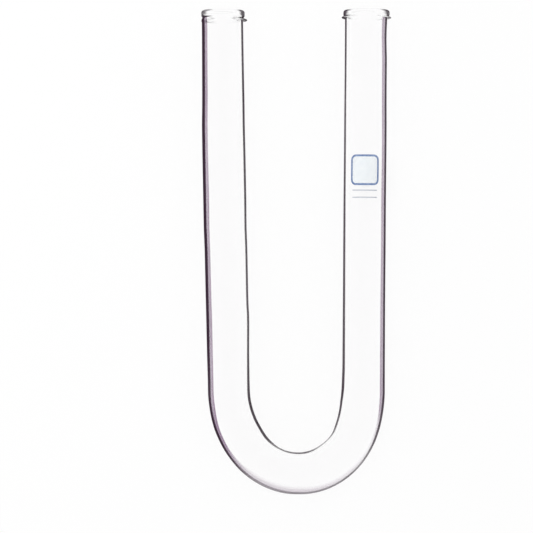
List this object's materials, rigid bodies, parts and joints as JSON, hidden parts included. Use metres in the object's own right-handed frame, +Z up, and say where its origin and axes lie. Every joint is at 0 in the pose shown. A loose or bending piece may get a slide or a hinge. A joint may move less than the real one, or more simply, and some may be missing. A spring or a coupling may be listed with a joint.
{
  "type": "drying tube",
  "caption": "U-shaped glass drying tube with straight legs, a hand-made bend and rolled lips. It holds the drying agent that a gas is led through.",
  "frame": {"origin": "on the bench, under the middle of the tube's outline as it lies flat on its crown and its lips", "axes": "+Y towards the mouths, +X towards the right leg, +Z up from the bench"},
  "size_m": [0.0823, 0.2065, 0.0208],
  "materials": {
    "clear_glass": "fire-polished clear borosilicate glass"
  },
  "bodies": {
    "root": {"glass_tube": "clear_glass"}
  },
  "joints": []
}
